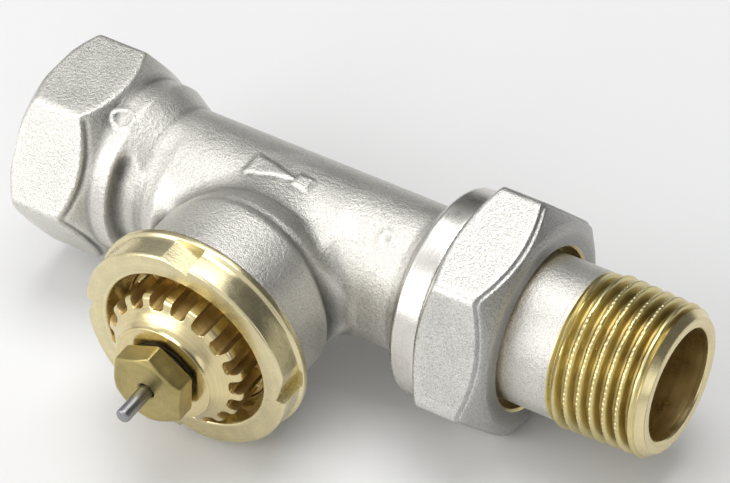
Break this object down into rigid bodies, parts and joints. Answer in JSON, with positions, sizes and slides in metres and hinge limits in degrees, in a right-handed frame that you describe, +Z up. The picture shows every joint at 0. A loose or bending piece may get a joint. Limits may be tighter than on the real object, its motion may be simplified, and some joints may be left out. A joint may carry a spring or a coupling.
{
  "type": "thermostatic radiator valve body",
  "caption": "Straight radiator valve body with a female inlet, a side branch whose spring-loaded pin a thermostatic head presses, and a union tail with an external taper thread.",
  "frame": {"origin": "centre of the inlet mouth, on the flow axis", "axes": "+X along the flow from the inlet to the tail, -Y along the spindle towards the head, +Z up"},
  "size_m": [0.095, 0.0569, 0.0328],
  "materials": {
    "nickel_cast": "sand-blasted nickel plate",
    "nickel_turned": "turned nickel plate",
    "brass_turned": "bright turned brass",
    "brass_dark": "dull machined brass",
    "steel_pin": "ground stainless steel",
    "spring_steel": "drawn wire",
    "seal_rubber": "black EPDM",
    "disc_rubber": "black NBR",
    "bush_plastic": "natural acetal"
  },
  "bodies": {
    "valve": {"valve_body": "nickel_cast", "head_collar": "brass_turned", "bonnet": "brass_turned", "bonnet_o_ring": "seal_rubber", "gland_nut": "brass_dark", "gland_face_o_ring": "seal_rubber", "pin_o_ring": "seal_rubber", "pin_guide_bush": "bush_plastic", "spindle_guide_bush": "bush_plastic", "spindle_o_ring": "seal_rubber", "spring_seat": "brass_dark", "return_spring": "spring_steel"},
    "plunger": {"pressure_pin": "steel_pin", "spindle": "brass_dark", "spring_plate": "brass_dark", "retaining_clip": "spring_steel", "cone_holder": "brass_dark", "valve_disc": "disc_rubber", "disc_washer": "brass_dark", "disc_nut": "brass_dark"},
    "tail": {"tailpiece": "nickel_turned", "tail_o_ring": "seal_rubber"},
    "nut": {"union_nut": "nickel_cast"}
  },
  "joints": [
    {"name": "spindle_slide", "type": "slide", "parent": "valve", "child": "plunger", "axis": [0, 1, 0], "range_m": [0, 0.0024], "stiffness_N_per_m": 2000, "springref_m": -0.01, "deforming": ["return_spring"]},
    {"name": "tail_slide", "type": "slide", "parent": "valve", "child": "tail", "axis": [1, 0, 0], "range_m": [0, 0.00907]},
    {"name": "nut_turn", "type": "hinge", "parent": "tail", "child": "nut", "pos_m": [0.0676, 0, 0], "axis": [1, 0, 0], "range_deg": [0, 1800]}
  ],
  "couplings": [
    {"joint": "tail_slide", "follows": "nut_turn", "m_per_rad": 0.00028871}
  ]
}
